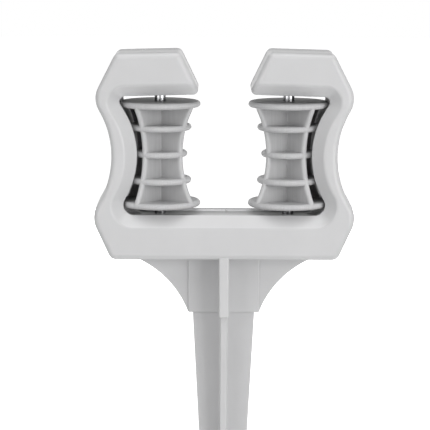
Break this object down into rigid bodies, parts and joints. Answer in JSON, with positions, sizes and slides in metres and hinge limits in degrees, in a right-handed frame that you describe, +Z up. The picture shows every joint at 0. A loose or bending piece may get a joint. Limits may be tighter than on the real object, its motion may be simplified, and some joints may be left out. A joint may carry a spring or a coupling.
{
  "type": "hose guide stake",
  "caption": "Garden hose guide: a bevelled yoke open at the top, with finned hourglass rollers on steel pins, on a cross-shaped ground stake.",
  "frame": {"origin": "middle of the collar's lower rim, on the stake's axis, where the soil's surface lies when the stake is pushed home", "axes": "+Z up along the stake, +X across the yoke from the left roller to the right one, -Y out of the front"},
  "size_m": [0.14, 0.0438, 0.3586],
  "materials": {
    "shell_plastic": "fine satin moulded grey",
    "roller_plastic": "satin moulded grey",
    "pin_steel": "ground and polished",
    "stake_plastic": "satin moulded grey",
    "screw_steel": "zinc plated"
  },
  "bodies": {
    "frame": {"front_shell": "shell_plastic", "rear_shell": "shell_plastic", "ground_stake": "stake_plastic", "shell_screws": "screw_steel"},
    "left_roller_set": {"left_roller": "roller_plastic", "left_axle_pin": "pin_steel"},
    "right_roller_set": {"right_roller": "roller_plastic", "right_axle_pin": "pin_steel"}
  },
  "joints": [
    {"name": "left_roller_spin", "type": "hinge", "parent": "frame", "child": "left_roller_set", "pos_m": [-0.0348, 0, 0.0876], "axis": [0, 0, 1], "continuous": true},
    {"name": "right_roller_spin", "type": "hinge", "parent": "frame", "child": "right_roller_set", "pos_m": [0.0348, 0, 0.0876], "axis": [0, 0, 1], "continuous": true}
  ]
}
